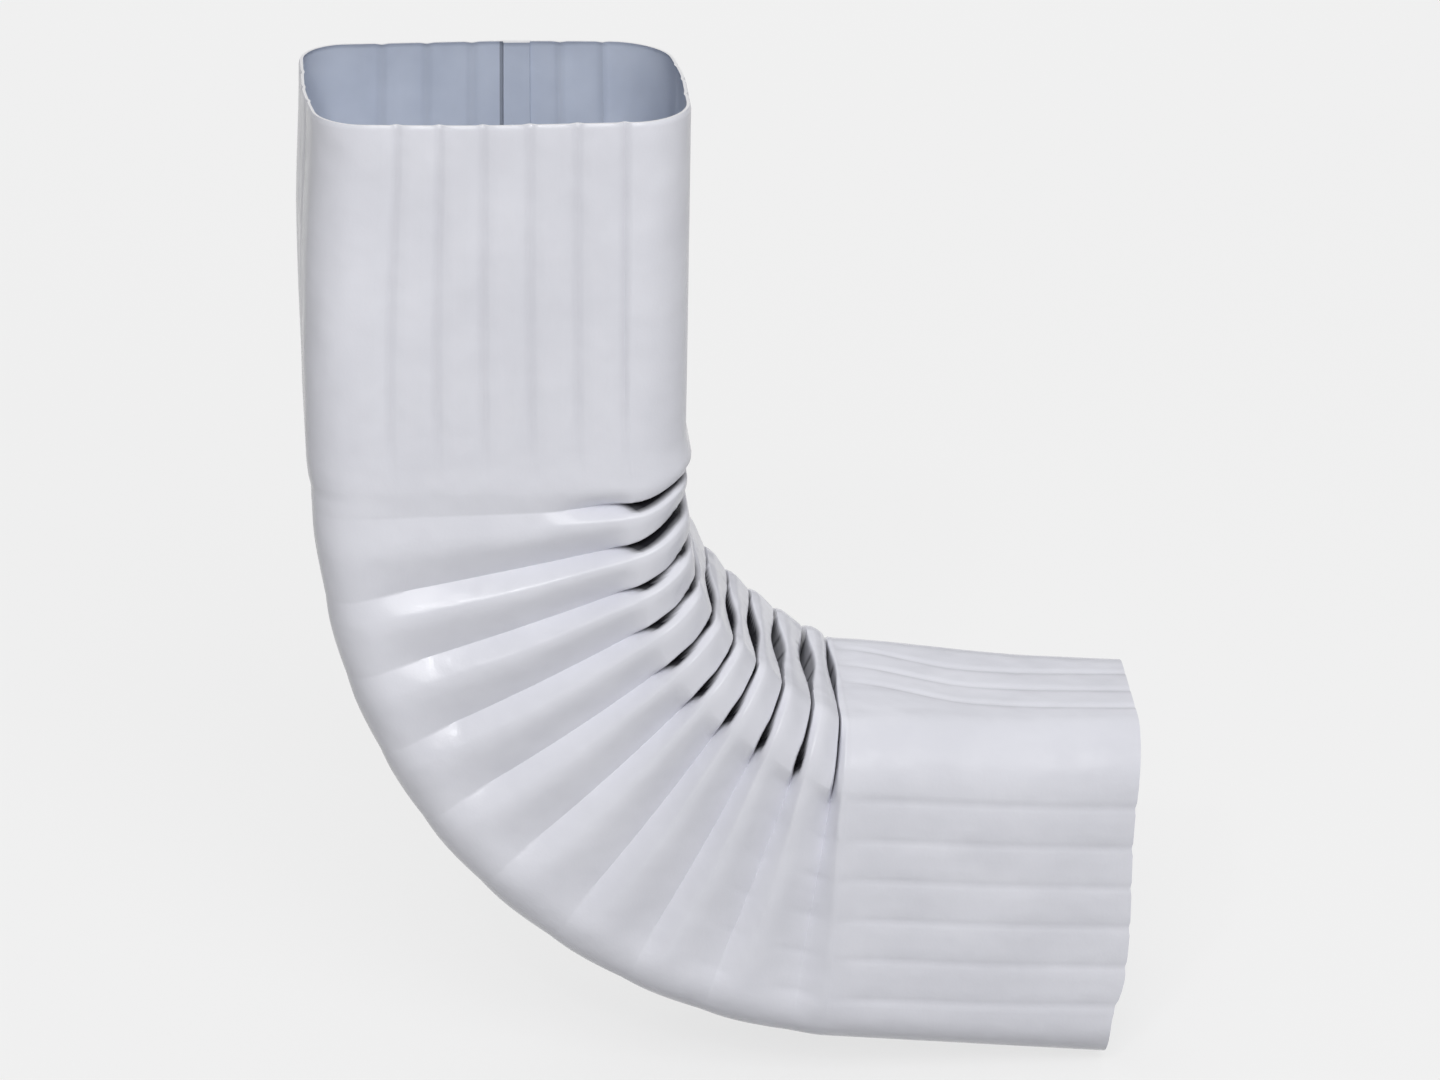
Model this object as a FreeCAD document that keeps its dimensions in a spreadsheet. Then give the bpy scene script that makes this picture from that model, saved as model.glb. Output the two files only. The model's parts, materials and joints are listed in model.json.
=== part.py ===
import FreeCAD, Part
import math
import os
import Sketcher

# Downspout elbow: one tube of painted sheet, seamed along its back and bent by a row of crimps.
# Millimetres and degrees. The inlet's rim lies in Z = 0 with its centre at the origin, +Z out of the inlet.
# The bend turns towards +X about an axis along Y. The throat is its inner wall and the heel its outer wall.
# Width is measured from throat to heel, and depth along Y.

SIZES = [
    ("sheet_thickness", 0.6),
    ("corner_radius", 12.5),
    # Straight legs and their open ends
    ("inlet_width", 82.5),
    ("inlet_depth", 57.0),
    ("inlet_leg", 84.0),
    ("outlet_width", 79.0),
    ("outlet_depth", 54.0),
    ("outlet_leg", 63.3),
    # Bend, measured on the ridges between its crimps
    ("bend_angle", 85.0),
    ("throat_start_radius", 38.4),
    ("throat_end_radius", 56.6),
    ("bend_start_width", 79.5),
    ("bend_end_width", 72.5),
    ("bend_start_depth", 60.0),
    ("bend_end_depth", 66.5),
    # Crimps: how far each is pressed in at the throat, at the sides beside it and at its shoulder by the heel
    ("crimp_count", 10),
    ("crimp_throat_depth", 7.0),
    ("crimp_side_depth", 4.5),
    ("crimp_shoulder_depth", 3.0),
    ("crimp_corner_radius", 9.0),
    ("shoulder_run", 12.0),
    # Folds of a crimp: turn of the bend before the first, turn by which the middle ones stand further on,
    # then shares of the pitch from the start of a valley
    ("first_valley_turn", 2.0),
    ("crimp_drift", 1.6),
    ("valley_end_share", 0.06),
    ("ridge_start_share", 0.26),
    ("ridge_end_share", 0.36),
    ("fold_setback", 0.4),
    # Grooves pressed along the legs
    ("wide_groove_count", 6),
    ("narrow_groove_count", 3),
    ("inlet_groove_pitch", 9.9),
    ("outlet_groove_pitch", 8.9),
    ("inlet_groove_depth", 0.7),
    ("outlet_groove_depth", 1.0),
    ("groove_width", 2.6),
    ("groove_floor", 0.5),
    ("groove_setback", 0.2),
    ("groove_run_out", 12.0),
    ("groove_end_gap", 3.0),
    ("groove_overshoot", 1.0),
    # Lock seam, pressed flat against the inside of the back wall
    ("seam_width", 6.0),
    ("seam_height", 0.9),
    ("seam_offset", 4.95),
]

doc = FreeCAD.newDocument("downspout_elbow")
sheet = doc.addObject("Spreadsheet::Sheet", "sizes")
for row, (alias, number) in enumerate(SIZES, start=1):
    sheet.set(f"A{row}", alias)
    sheet.set(f"B{row}", str(number))
    sheet.setAlias(f"B{row}", alias)
doc.recompute()


class Size:
    """A size worked out from the sheet: its number now, and the expression that keeps it up to date."""

    def __init__(self, number, text):
        self.number = number
        self.text = text

    def __add__(self, other):
        other = as_size(other)
        return Size(self.number + other.number, f"({self.text} + {other.text})")

    def __sub__(self, other):
        other = as_size(other)
        return Size(self.number - other.number, f"({self.text} - {other.text})")

    def __mul__(self, other):
        other = as_size(other)
        return Size(self.number * other.number, f"{self.text} * {other.text}")

    def __truediv__(self, other):
        other = as_size(other)
        return Size(self.number / other.number, f"{self.text} / {other.text}")


def as_size(value):
    return value if isinstance(value, Size) else Size(value, f"({value})")


def named(alias):
    return Size(float(sheet.get(alias)), f"sizes.{alias}")


def cosine(angle):
    return Size(math.cos(math.radians(angle.number)), f"cos({angle.text} * 1 deg)")


def sine(angle):
    return Size(math.sin(math.radians(angle.number)), f"sin({angle.text} * 1 deg)")


def between(first, last, share):
    return first + (last - first) * share


thickness = named("sheet_thickness")
bend_angle = named("bend_angle")
crimp_count = round(named("crimp_count").number)
bend_axis_x = named("inlet_width") / 2 + named("throat_start_radius")
bend_axis_z = named("inlet_leg") * -1


class Section:
    """One cross-section of the tube: a rounded rectangle in a plane through a line along Y.

    The line stands at axis_x, axis_z, and the plane is turned about it. Throat, shoulder and heel are
    distances from the line, and the halves are how far the sides stand from the middle there.
    """

    def __init__(self, axis_x, axis_z, turn, throat, width, depth):
        self.axis_x = axis_x
        self.axis_z = axis_z
        self.turn = turn
        self.throat = throat
        self.heel = throat + width
        self.shoulder = self.heel - named("corner_radius") - named("shoulder_run")
        self.middle = throat + width / 2
        self.heel_half = depth / 2
        self.shoulder_half = depth / 2
        self.throat_half = depth / 2
        self.heel_corner = named("corner_radius")
        self.throat_corner = named("corner_radius")

    def pressed(self):
        """The same section at the bottom of a crimp."""
        self.throat = self.throat + named("crimp_throat_depth")
        self.throat_half = self.throat_half - named("crimp_side_depth")
        self.shoulder_half = self.shoulder_half - named("crimp_shoulder_depth")
        self.throat_corner = named("crimp_corner_radius")
        return self

    def inside(self):
        """The same section on the inner face of the sheet."""
        self.throat = self.throat + thickness
        self.heel = self.heel - thickness
        self.heel_half = self.heel_half - thickness
        self.shoulder_half = self.shoulder_half - thickness
        self.throat_half = self.throat_half - thickness
        self.heel_corner = self.heel_corner - thickness
        self.throat_corner = self.throat_corner - thickness
        return self

    def point(self, distance, y):
        """The place of a point of the section in the elbow's frame."""
        turn = math.radians(self.turn.number)
        x = self.axis_x.number - distance * math.cos(turn)
        z = self.axis_z.number - distance * math.sin(turn)
        return FreeCAD.Vector(x, y, z)


def inlet_rim():
    level = as_size(0)
    throat = named("throat_start_radius")
    return Section(bend_axis_x, level, level, throat, named("inlet_width"), named("inlet_depth"))


def outlet_rim():
    axis_x = bend_axis_x + sine(bend_angle) * named("outlet_leg")
    axis_z = bend_axis_z - cosine(bend_angle) * named("outlet_leg")
    flare = (named("outlet_width") - named("bend_end_width")) / 2
    throat = named("throat_end_radius") - flare
    return Section(axis_x, axis_z, bend_angle, throat, named("outlet_width"), named("outlet_depth"))


def bend_section(turn, shift):
    """A section of the bend at a turn, shifted along the tube."""
    share = turn / bend_angle
    throat = between(named("throat_start_radius"), named("throat_end_radius"), share)
    width = between(named("bend_start_width"), named("bend_end_width"), share)
    depth = between(named("bend_start_depth"), named("bend_end_depth"), share)
    axis_x = bend_axis_x + sine(turn) * shift
    axis_z = bend_axis_z - cosine(turn) * shift
    return Section(axis_x, axis_z, turn, throat, width, depth)


def fold_turn(place):
    """The turn of a fold whose place is counted in pitches from the first valley."""
    first_valley = named("first_valley_turn")
    pitches = named("crimp_count") - 1 + named("ridge_end_share")
    pitch = (bend_angle - first_valley) / pitches
    even = first_valley + pitch * place
    return even + named("crimp_drift") * sine(even / bend_angle * 180)


def tube_sections(setback):
    """The sections from inlet to outlet. Setback moves each fold to keep the sheet's thickness."""
    before = setback * -1
    after = setback
    sections = [inlet_rim(), bend_section(as_size(0), before)]
    for crimp in range(crimp_count):
        valley = as_size(crimp)
        sections.append(bend_section(fold_turn(valley), before).pressed())
        sections.append(bend_section(fold_turn(valley + named("valley_end_share")), after).pressed())
        sections.append(bend_section(fold_turn(valley + named("ridge_start_share")), after))
        sections.append(bend_section(fold_turn(valley + named("ridge_end_share")), before))
    sections.append(outlet_rim())
    return sections


def vector(x, y):
    return FreeCAD.Vector(x, y, 0)


def mirrored(point):
    return vector(point.x, -point.y)


def tangent_angle(centre, radius, point, side):
    """Where on a circle a line from a point outside touches it."""
    reach = point - centre
    return math.atan2(reach.y, reach.x) + side * math.acos(radius / reach.Length)


def on_circle(centre, radius, angle):
    return centre + vector(math.cos(angle), math.sin(angle)) * radius


def arc(centre, radius, first, last):
    circle = Part.Circle(centre, FreeCAD.Vector(0, 0, 1), radius)
    return Part.ArcOfCircle(circle, first, last)


def section_outline(section, seam_edges):
    """The outline's lines and arcs in order, from the throat round the front, the heel and the back."""
    throat_radius = section.throat_corner.number
    heel_radius = section.heel_corner.number
    throat_line = section.throat.number
    heel_line = section.heel.number
    throat_centre = vector(throat_line + throat_radius, section.throat_half.number - throat_radius)
    heel_centre = vector(heel_line - heel_radius, section.heel_half.number - heel_radius)
    shoulder = vector(section.shoulder.number, section.shoulder_half.number)
    throat_angle = tangent_angle(throat_centre, throat_radius, shoulder, 1)
    heel_angle = tangent_angle(heel_centre, heel_radius, shoulder, -1)
    throat_end = on_circle(throat_centre, throat_radius, throat_angle)
    heel_end = on_circle(heel_centre, heel_radius, heel_angle)

    back = [shoulder]
    slope = (throat_end.y - shoulder.y) / (throat_end.x - shoulder.x)
    for edge in seam_edges:
        wall = vector(edge.number, shoulder.y + slope * (edge.number - shoulder.x))
        fold = wall - vector(0, named("seam_height").number)
        back.extend([wall, fold] if edge is seam_edges[0] else [fold, wall])
    back.append(throat_end)

    half_turn = math.pi
    outline = [
        Part.LineSegment(vector(throat_line, throat_centre.y), vector(throat_line, -throat_centre.y)),
        arc(mirrored(throat_centre), throat_radius, half_turn, 2 * half_turn - throat_angle),
        Part.LineSegment(mirrored(throat_end), mirrored(shoulder)),
        Part.LineSegment(mirrored(shoulder), mirrored(heel_end)),
        arc(mirrored(heel_centre), heel_radius, -heel_angle, 0),
        Part.LineSegment(vector(heel_line, -heel_centre.y), vector(heel_line, heel_centre.y)),
        arc(heel_centre, heel_radius, 0, heel_angle),
        Part.LineSegment(heel_end, shoulder),
    ]
    outline.extend(Part.LineSegment(first, last) for first, last in zip(back, back[1:]))
    outline.append(arc(throat_centre, throat_radius, throat_angle, half_turn))
    return outline


START, END, CENTRE = 1, 2, 3
ORIGIN = -1
AXIS_X = -1
THROAT, THROAT_FRONT, FRONT, FRONT_HEEL, HEEL_FRONT, HEEL, HEEL_BACK, BACK_HEEL, BACK = range(9)


def section_sketch(name, section, with_seam):
    """A sketch of the section, whose place and sizes follow the sheet."""
    seam_edges = []
    if with_seam:
        seam_middle = section.middle - named("seam_offset")
        seam_edges = [seam_middle + named("seam_width") / 2, seam_middle - named("seam_width") / 2]
    outline = section_outline(section, seam_edges)
    throat_back = len(outline) - 1
    sketch = doc.addObject("Sketcher::SketchObject", name)
    sketch.addGeometry(outline, False)

    constraints = []
    smooth = [
        (THROAT, THROAT_FRONT), (THROAT_FRONT, FRONT), (FRONT_HEEL, HEEL_FRONT), (HEEL_FRONT, HEEL),
        (HEEL, HEEL_BACK), (HEEL_BACK, BACK_HEEL), (throat_back - 1, throat_back), (throat_back, THROAT),
    ]
    for first, second in smooth:
        constraints.append(Sketcher.Constraint("Tangent", first, END, second, START))
    bent = [(FRONT, FRONT_HEEL), (BACK_HEEL, BACK)]
    bent += [(line, line + 1) for line in range(BACK, throat_back - 1)]
    for first, second in bent:
        constraints.append(Sketcher.Constraint("Coincident", first, END, second, START))
    constraints.append(Sketcher.Constraint("Symmetric", FRONT, END, BACK_HEEL, END, AXIS_X))
    for front, back in ((THROAT_FRONT, throat_back), (HEEL_FRONT, HEEL_BACK)):
        constraints.append(Sketcher.Constraint("Symmetric", front, CENTRE, back, CENTRE, AXIS_X))
        constraints.append(Sketcher.Constraint("Equal", front, back))
    if with_seam:
        first_step, crown, last_step = BACK + 1, BACK + 2, BACK + 3
        constraints.append(Sketcher.Constraint("Vertical", first_step))
        constraints.append(Sketcher.Constraint("Vertical", last_step))
        constraints.append(Sketcher.Constraint("Parallel", BACK, crown))
        constraints.append(Sketcher.Constraint("Tangent", BACK, last_step + 1))
    sketch.addConstraint(constraints)

    def bind(label, kind, size, *where):
        index = sketch.addConstraint(Sketcher.Constraint(kind, *where, size.number))
        sketch.renameConstraint(index, label)
        sketch.setExpression(f"Constraints.{label}", size.text)

    heel_centre = section.heel - section.heel_corner
    heel_side = section.heel_half - section.heel_corner
    throat_centre = section.throat + section.throat_corner
    throat_side = section.throat_half - section.throat_corner
    bind("throat_corner", "Radius", section.throat_corner, throat_back)
    bind("heel_corner", "Radius", section.heel_corner, HEEL_BACK)
    bind("throat_centre", "DistanceX", throat_centre, ORIGIN, START, throat_back, CENTRE)
    bind("heel_centre", "DistanceX", heel_centre, ORIGIN, START, HEEL_BACK, CENTRE)
    bind("throat_side", "DistanceY", throat_side, ORIGIN, START, throat_back, CENTRE)
    bind("heel_side", "DistanceY", heel_side, ORIGIN, START, HEEL_BACK, CENTRE)
    bind("shoulder", "DistanceX", section.shoulder, ORIGIN, START, BACK_HEEL, END)
    bind("shoulder_side", "DistanceY", section.shoulder_half, ORIGIN, START, BACK_HEEL, END)
    if with_seam:
        bind("seam_heel_edge", "DistanceX", seam_edges[0], ORIGIN, START, BACK, END)
        bind("seam_throat_edge", "DistanceX", seam_edges[1], ORIGIN, START, last_step, END)
        bind("seam_height", "DistanceY", named("seam_height"), BACK + 1, END, BACK + 1, START)

    turn = as_size(180) - section.turn
    place = FreeCAD.Vector(section.axis_x.number, 0, section.axis_z.number)
    sketch.Placement = FreeCAD.Placement(place, FreeCAD.Rotation(FreeCAD.Vector(0, 1, 0), turn.number))
    sketch.setExpression("Placement.Base.x", section.axis_x.text)
    sketch.setExpression("Placement.Base.z", section.axis_z.text)
    sketch.setExpression("Placement.Rotation.Angle", turn.text)
    return sketch


def skin(name, sections, with_seam):
    """A solid with flat or ruled faces from each section to the next."""
    loft = doc.addObject("Part::Loft", name)
    sketches = []
    for index, section in enumerate(sections):
        sketches.append(section_sketch(f"{name}_section_{index:02d}", section, with_seam))
    loft.Sections = sketches
    loft.Solid = True
    loft.Ruled = True
    return loft


def groove_tool(name, rim_point, end_point, inward, depth, extra):
    """A long wedge that presses one groove into a leg, open at the rim and running out before the bend."""
    along = end_point - rim_point
    length = as_size(along.Length)
    along.normalize()
    inward = inward - along * inward.dot(along)
    inward.normalize()
    across = inward.cross(along)
    over = named("groove_overshoot")
    half_width = named("groove_width") / 2 + extra
    half_floor = named("groove_floor") / 2 + extra
    half_top = half_width + (half_width - half_floor) / depth * over
    last = length - named("groove_end_gap")
    floor_last = last - named("groove_run_out")
    wedge = doc.addObject("Part::Wedge", name)
    limits = {
        "Xmin": half_top * -1, "Xmax": half_top,
        "Ymin": over * -1, "Ymax": depth,
        "Zmin": over * -1, "Zmax": last,
        "X2min": half_floor * -1, "X2max": half_floor,
        "Z2min": over * -1, "Z2max": floor_last,
    }
    for limit, size in limits.items():
        setattr(wedge, limit, size.number)
        wedge.setExpression(limit, size.text)
    wedge.Placement = FreeCAD.Placement(rim_point, FreeCAD.Rotation(across, inward, along, "ZYX"))
    return wedge


def row(count, pitch):
    """Offsets of a centred row."""
    return [(k - (count - 1) / 2) * pitch for k in range(count)]


def leg_grooves(name, rim, end, pitch, depth, extra):
    """The grooves round one leg. The seam takes the place of one of them on the back."""
    tools = []

    def add(side, rim_point, end_point, inward):
        label = f"{name}_{side}_{len(tools):02d}"
        tools.append(groove_tool(label, rim_point, end_point, inward, depth, extra))

    forward = FreeCAD.Vector(0, 1, 0)
    to_throat = rim.point(rim.throat.number, 0) - rim.point(rim.heel.number, 0)
    for offset in row(round(named("wide_groove_count").number), pitch.number):
        rim_distance = rim.middle.number + offset
        end_distance = end.middle.number + offset
        on_seam = abs(offset + named("seam_offset").number) < pitch.number / 2
        for side, sign in (("front", -1), ("back", 1)):
            if side == "back" and on_seam:
                continue
            rim_point = rim.point(rim_distance, sign * rim.heel_half.number)
            end_point = end.point(end_distance, sign * end.heel_half.number)
            add(side, rim_point, end_point, forward * -sign)
    for offset in row(round(named("narrow_groove_count").number), pitch.number):
        for side, sign in (("throat", -1), ("heel", 1)):
            rim_distance = rim.throat.number if side == "throat" else rim.heel.number
            end_distance = end.throat.number if side == "throat" else end.heel.number
            add(side, rim.point(rim_distance, offset), end.point(end_distance, offset), to_throat * sign)
    return tools


def grooved_form(name, inner):
    """The tube as a solid block, by its outer or inner face, with every groove pressed in."""
    setback = as_size(0)
    extra = as_size(0)
    ends = [inlet_rim(), bend_section(setback, setback), outlet_rim(), bend_section(bend_angle, setback)]
    if inner:
        setback = named("fold_setback")
        extra = named("groove_setback")
        ends = [section.inside() for section in ends]
    sections = tube_sections(setback)
    if inner:
        sections = [section.inside() for section in sections]
    block = skin(f"{name}_skin", sections, inner)
    inlet_rim_face, inlet_end, outlet_rim_face, outlet_end = ends
    tools = leg_grooves(f"{name}_inlet_groove", inlet_rim_face, inlet_end,
                        named("inlet_groove_pitch"), named("inlet_groove_depth"), extra)
    tools += leg_grooves(f"{name}_outlet_groove", outlet_rim_face, outlet_end,
                         named("outlet_groove_pitch"), named("outlet_groove_depth"), extra)
    grooves = doc.addObject("Part::Compound", f"{name}_grooves")
    grooves.Links = tools
    form = doc.addObject("Part::Cut", f"{name}_form")
    form.Base = block
    form.Tool = grooves
    return form


elbow = doc.addObject("Part::Cut", "elbow")
elbow.Base = grooved_form("outer", False)
elbow.Tool = grooved_form("inner", True)
elbow.Label = "downspout_elbow"
doc.recompute()

failed = [item.Name for item in doc.Objects if "Invalid" in item.State or "Error" in item.State]
if failed:
    raise RuntimeError(f"these objects failed: {failed}")
if elbow.Shape.isNull() or not elbow.Shape.isValid() or len(elbow.Shape.Solids) != 1:
    raise RuntimeError("the elbow is not one valid solid")

os.makedirs("parts", exist_ok=True)
elbow.Shape.exportStep(f"parts/{elbow.Label}.step")
print(f"volume {elbow.Shape.Volume:.0f} mm3, faces {len(elbow.Shape.Faces)}, box {elbow.Shape.BoundBox}")
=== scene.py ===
import json
import math

import bpy
import numpy as np
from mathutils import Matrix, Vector


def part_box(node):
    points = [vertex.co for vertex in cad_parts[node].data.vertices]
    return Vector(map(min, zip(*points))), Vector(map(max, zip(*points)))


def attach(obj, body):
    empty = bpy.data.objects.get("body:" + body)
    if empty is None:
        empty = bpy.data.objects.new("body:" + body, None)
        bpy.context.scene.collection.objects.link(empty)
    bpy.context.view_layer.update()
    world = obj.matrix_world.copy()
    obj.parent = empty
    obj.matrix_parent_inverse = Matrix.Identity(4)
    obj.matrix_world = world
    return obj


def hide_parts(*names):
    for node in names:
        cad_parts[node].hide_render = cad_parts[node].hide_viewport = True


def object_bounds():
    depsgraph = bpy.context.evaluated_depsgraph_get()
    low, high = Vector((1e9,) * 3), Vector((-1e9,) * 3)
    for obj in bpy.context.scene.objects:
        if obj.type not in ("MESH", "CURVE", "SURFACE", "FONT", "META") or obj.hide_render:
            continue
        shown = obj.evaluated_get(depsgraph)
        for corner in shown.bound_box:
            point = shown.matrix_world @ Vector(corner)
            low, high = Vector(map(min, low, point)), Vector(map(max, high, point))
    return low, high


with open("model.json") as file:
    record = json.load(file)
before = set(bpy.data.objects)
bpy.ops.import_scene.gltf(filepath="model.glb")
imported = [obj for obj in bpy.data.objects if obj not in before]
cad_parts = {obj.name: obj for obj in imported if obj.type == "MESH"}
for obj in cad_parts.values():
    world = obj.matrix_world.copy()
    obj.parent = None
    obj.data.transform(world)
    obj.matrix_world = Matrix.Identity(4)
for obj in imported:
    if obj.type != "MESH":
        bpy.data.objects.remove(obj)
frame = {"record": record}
cad_low, cad_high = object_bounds()

# Sizes are in millimetres and turns in degrees. The inlet's rim lies in Z = 0 with its centre at the origin.
# The bend turns towards +X about an axis along Y. The throat is its inner wall, and the heel its outer wall.
# The front faces -Y. A turn is measured round the bend from the end of the inlet leg, and a shift along a leg
# from the bend, below 0 on the inlet leg.
MM = 0.001
FRONT = -1
BACK = 1
NODE = "downspout_elbow"
mounts = {mount["name"]: mount for mount in frame["record"]["mounts"]}
outlet_axis = Vector(mounts["outlet"]["axis"])
node_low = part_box(NODE)[0]

# Legs and bend
SHEET = 0.6
CORNER = 12.5
HEEL_CORNER = 10.0
INLET_WIDTH = -2 * node_low.x / MM
INLET_DEPTH = 57.0
INLET_LEG = 84.0
OUTLET_WIDTH = 79.0
OUTLET_DEPTH = 54.0
OUTLET_LEG = 63.3
BEND_ANGLE = math.degrees(math.atan2(outlet_axis.x, -outlet_axis.z))
THROAT_START = 38.4
THROAT_END = 56.6
BEND_START_WIDTH = 79.5
BEND_END_WIDTH = 72.5
BEND_START_DEPTH = 60.0
BEND_END_DEPTH = 66.5
AXIS_X = INLET_WIDTH / 2 + THROAT_START
AXIS_Z = -INLET_LEG
MIDDLE_RADIUS = THROAT_START + BEND_START_WIDTH / 2

# How bending has left throat, heel and legs: steps and humps along the turn, and the bulge along the sheet.
# The throat returns to its line over a length of the outlet leg, and the pinch sets in over a share of the
# inlet leg.
THROAT_TIGHTER = {"height": -2.0, "start": 4, "end": 18}
THROAT_TIGHTEST = {"height": -1.6, "middle": 60, "spread": 16}
THROAT_RETURN = 45.0
HEEL_BULGE = {"height": 1.6, "middle": 0, "spread": 13}
HEEL_FLAT = {"height": -0.9, "middle": 33, "spread": 16}
HEEL_LIFT = {"height": -0.9, "start": 35, "end": 60}
LEG_BOW = 6
LEG_PINCH = 1.5
LEG_PINCH_START = 0.12

# How handling has left the inlet's rim, and the outlet's end, which reaches out between shares of a wide face
RIM_SQUEEZE = 3.3
RIM_SQUEEZE_REACH = 70.0
RIM_SQUEEZE_EDGE = 1.3
RIM_HEEL_PRESS = 1.2
RIM_HEEL_REACH = 35.0
RIM_CURL = 0.35
RIM_CURL_REACH = 1.2
END_REACH = 1.8
END_NOTCH = 0.25
END_START = 0.8 * OUTLET_LEG
END_RISE = (0.1, 0.7)
END_FALL = (0.8, 1.0)

# Crimps: how far each is pressed in at the throat, beside it and at its shoulder by the heel, the radius of
# its corners in the valley and its dip in the heel
CRIMPS = 10
THROAT_PRESS = 7.0
SIDE_PRESS = 4.5
SHOULDER_PRESS = 3.0
VALLEY_CORNER = 9.0
HEEL_FACET = 0.3

# Folds of a crimp: turn of the first valley, drift of the middle ones, and shares of the pitch from a valley
# to its ridge
FIRST_VALLEY = 2.0
CRIMP_DRIFT = 1.6
RIDGE_SHARE = 0.36
SIDE_RIDGE_SHARE = 0.22
PITCH = (BEND_ANGLE - FIRST_VALLEY) / (CRIMPS - 1 + RIDGE_SHARE)
FIRST_DECLINE = 0.45
FOLD_SOFTNESS = 0.25
FOLD_STEEPENING = 1.2

# Places on a wide face, as shares of the way from throat to heel, and what is left there of the first crimp
SHOULDER = 0.78
FOLD_END = (0.80, 1.18)
HEEL_CORNER_SHARE = 0.25
SIDE_RIDGE_REACH = 0.6
FIRST_PRESS = 0.24
FIRST_PRESS_REACH = 0.35

# How folds stand askew, in degrees round the bend: their lean from heel to throat, their climb on the throat
# and their twist from its front to its back
FOLD_LEAN = 2.2
MIDDLE_LEAN = {"height": 1.5, "middle": 42, "spread": 12}
FIRST_LEAN_LOSS = 1.6
FIRST_LEAN_TURN = 17
FIRST_LEAN_EDGE = 4
THROAT_LEAN = 0.5
HEEL_LEAN = -0.5
THROAT_CLIMB = -0.6
LEG_CLIMB = {"height": -6.0, "middle": 0, "spread": 20}
LATE_CLIMB = {"height": 1.7, "start": 25, "end": 45}
FOLD_TWIST = {"height": 1.6, "start": 25, "end": 45}
FIRST_SWING = {"height": -0.65, "middle": 0, "spread": 5}
LEG_SWING = {"height": 1, "middle": 0, "spread": 9}
LAST_SWING_TURN = 8

# Crevices: the shares of the pitch before and after a valley that each kind takes, and the share of the fold
# that is drawn into them
CREVICE = (0.13, 0.10)
FIRST_CREVICE = (0.17, 0.14)
THIN_CREVICE = (0.06, 0.05)
OPEN_CREVICE = (0.34, 0.28)
PAINTED_HATCH_CREVICE = (0.5, 0.05)
SIDE_DRAWN = 0.65
SIDE_DRAWN_REACH = 0.07
THROAT_DRAWN = 0.9
OPEN_DRAWN = 0.8

# Where a crevice gapes across the throat, from -1 at its front to 1 at its back, and places on the throat's
# corners, from 0 at the wide face to 1 at the throat
OPEN_MIDDLE_FIRST = -0.95
OPEN_MIDDLE_LAST = 0.35
OPEN_HALF_LENGTH = 0.55
CORNER_OPENING = (0.55, 0.9)
POCKET_NARROWING = (0.2, 0.45)
POCKET_DARKENING = (0.0, 0.12)

# Turns between which the first crimps end, the late ones begin and the last one begins
EARLY_TURNS = (13, 19)
LATE_TURNS = (55, 72)
LAST_TURNS = (77, 80)

# Painted shade in crevices: how much it darkens the colour, from 0 to 1, and how much of it is lost in places
PAINTED_SHADE_DEPTH = 0.22
POCKET_START = 0.06
POCKET_START_REACH = 0.015
CORNER_LOSS = 0.2
LATE_CORNER_LOSS = 0.6
LAST_CORNER_LOSS = 0.8
LATE_THROAT_LOSS = 0.5
LATE_GROOVE_GAIN = 0.35
PAINTED_HATCH = 0.12
PAINTED_HATCH_GROOVE_GAIN = 0.4

# Grooves along the legs: sizes, how far they lie off the middle of a wide face, and where they fade
GROOVE_HALF_WIDTH = 1.6
INLET_GROOVE_PITCH = 9.9
OUTLET_GROOVE_PITCH = 9.4
INLET_GROOVES_TO_THROAT = 2.0
OUTLET_GROOVES_TO_THROAT = -1.2
INLET_GROOVE_DEPTH = 0.7
NARROW_GROOVE_DEPTH = 0.25
OUTLET_GROOVE_DEPTH = 0.28
# How much painted shade darkens the colour in the inlet's grooves
GROOVE_SHADE = 0.08
WIDE_GROOVES = 6
NARROW_GROOVES = 3
INLET_GROOVE_FADE = (3, 22)
OUTLET_GROOVE_FADE = (-2, 8)
LAST_CRIMP_TURNS = (58, 84)
THROAT_GROOVE_GAIN = 3

# The throat's grooves run askew out of the last crimps
THROAT_DRIFT = -8.0
THROAT_DRIFT_REACH = 28.0
THROAT_DRIFT_TURNS = (58, 62)
THROAT_DRIFT_DOUBLING = 24
THROAT_DRIFT_MARGIN = 2.0

# Seam inside the back, in place of a groove, with painted shade in a gap along one edge
SEAM_GROOVE = 3
SEAM_HALF_WIDTH = 3.0
SEAM_HEIGHT = 0.9
SEAM_EDGE = 0.05
SEAM_GAP = 0.75
SEAM_GAP_SHADE = 0.5

# How finely the sheet is divided: rows along the tube, at phases of each crimp, and columns round it
LEG_ROWS = 16
RIM_ROWS = 3
LEG_END_SHIFTS = [-7.0, -5.0, -3.5, -2.2, -1.1]
ROW_GAP = 0.08
FOLD_PHASES = [
    -0.53, -0.46, -0.40, -0.34, -0.28, -0.22, -0.17, -0.13, -0.10, -0.07, -0.04, -0.02,
    0.0, 0.02, 0.04, 0.06, 0.08, 0.10, 0.125, 0.15, 0.175, 0.20, 0.225, 0.25, 0.28, 0.31, 0.35, 0.40,
]
INSIDE_PHASES = [-0.40, -0.22, -0.10, -0.04, 0.0, 0.04, 0.08, 0.19, 0.27, 0.35]
CORNER_COLUMNS = 10
FILL_COLUMNS = 2
THROAT_FILL_COLUMNS = 5
COLUMN_GAP = 0.15
GROOVE_SPREAD = [GROOVE_HALF_WIDTH * share for share in (-1, -0.5, 0, 0.5, 1)]
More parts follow.
